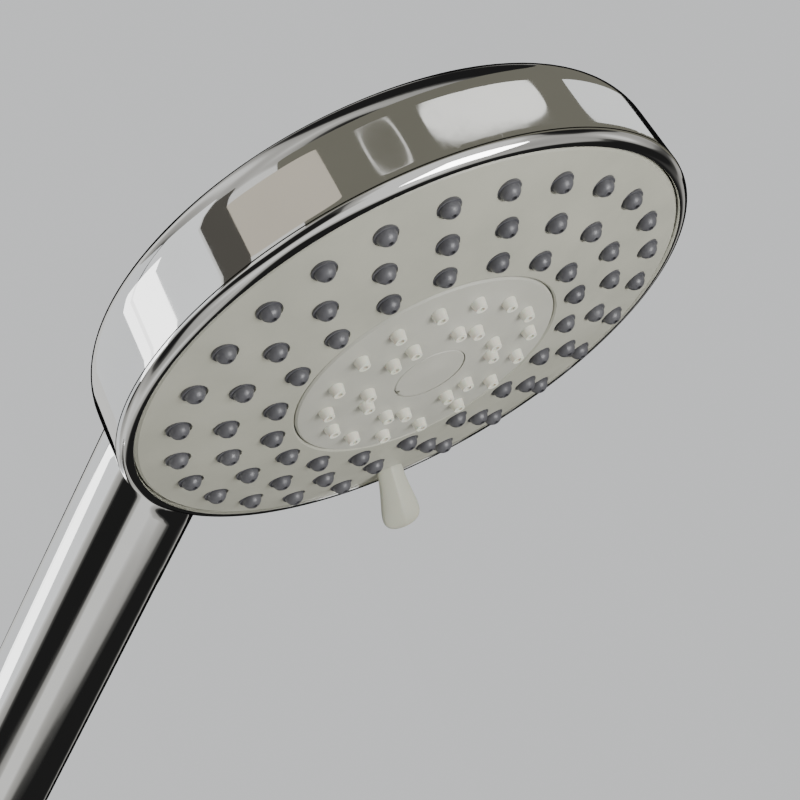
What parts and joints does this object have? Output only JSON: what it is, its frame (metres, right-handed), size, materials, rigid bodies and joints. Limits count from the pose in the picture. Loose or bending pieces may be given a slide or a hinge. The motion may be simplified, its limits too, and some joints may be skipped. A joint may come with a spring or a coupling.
{
  "type": "handheld shower head",
  "caption": "Chromed handheld shower head with a round domed spray face, rubber nozzles, a mode lever on the face and a threaded hose inlet at the handle's end.",
  "frame": {"origin": "centre of the spray face's edge circle, on the axis the face turns about", "axes": "+Z out of the back of the head (spray leaves along -Z), +X towards the handle, which slopes down to the spray side"},
  "size_m": [0.25, 0.12, 0.0854],
  "materials": {
    "chrome_shell": "mirror bright plating",
    "chrome_bezel": "mirror bright plating",
    "chrome_trim": "mirror bright plating",
    "connector_metal": "nickel plated",
    "inner_plastic": "natural moulded",
    "valve_plastic": "acetal",
    "tube_plastic": "natural",
    "black_rubber": "soft",
    "regulator_plastic": "coloured",
    "screen_steel": "fine mesh",
    "screw_steel": "machined",
    "spring_steel": "drawn wire",
    "turbine_plastic": "acetal",
    "face_plastic": "fine satin",
    "lever_plastic": "fine satin",
    "grey_silicone": "soft satin",
    "disc_plastic": "fine satin",
    "ivory_silicone": "soft satin"
  },
  "bodies": {
    "housing": {"back_shell": "chrome_shell", "bezel_ring": "chrome_bezel", "diverter_body": "inner_plastic", "body_screws": "screw_steel", "waterway_tube": "tube_plastic", "waterway_rings": "black_rubber", "hose_connector": "connector_metal", "handle_end_ring": "chrome_trim", "connector_ring": "black_rubber", "flow_regulator": "regulator_plastic", "filter_screen": "screen_steel", "centre_screw": "screw_steel", "screw_washer": "screw_steel", "seal_spring": "spring_steel", "detent_spring": "spring_steel"},
    "spray_face": {"face_plate": "face_plastic", "selector_lever": "lever_plastic", "outer_nozzle_mat": "grey_silicone", "centre_disc": "disc_plastic", "inner_nozzle_mat": "ivory_silicone", "centre_cap": "disc_plastic", "distributor_plate": "inner_plastic", "swirl_plate": "inner_plastic", "valve_plate": "valve_plastic"},
    "turbine": {"turbine": "turbine_plastic"},
    "seal_cup": {"seal_cup": "black_rubber"},
    "detent_plunger": {"detent_plunger": "valve_plastic"}
  },
  "joints": [
    {"name": "selector_turn", "type": "hinge", "parent": "housing", "child": "spray_face", "pos_m": [0, 0, 0], "axis": [0, 0, 1], "range_deg": [0, 90]},
    {"name": "turbine_spin", "type": "hinge", "parent": "spray_face", "child": "turbine", "pos_m": [0, 0, 0], "axis": [0, 0, 1], "continuous": true},
    {"name": "seal_press", "type": "slide", "parent": "housing", "child": "seal_cup", "axis": [0, 0, 1], "range_m": [0, 0.0008], "stiffness_N_per_m": 600, "springref_m": -0.003, "deforming": ["seal_spring"]},
    {"name": "click_press", "type": "slide", "parent": "housing", "child": "detent_plunger", "axis": [0, 0, 1], "range_m": [0, 0.0008], "stiffness_N_per_m": 400, "springref_m": -0.003, "deforming": ["detent_spring"]}
  ]
}
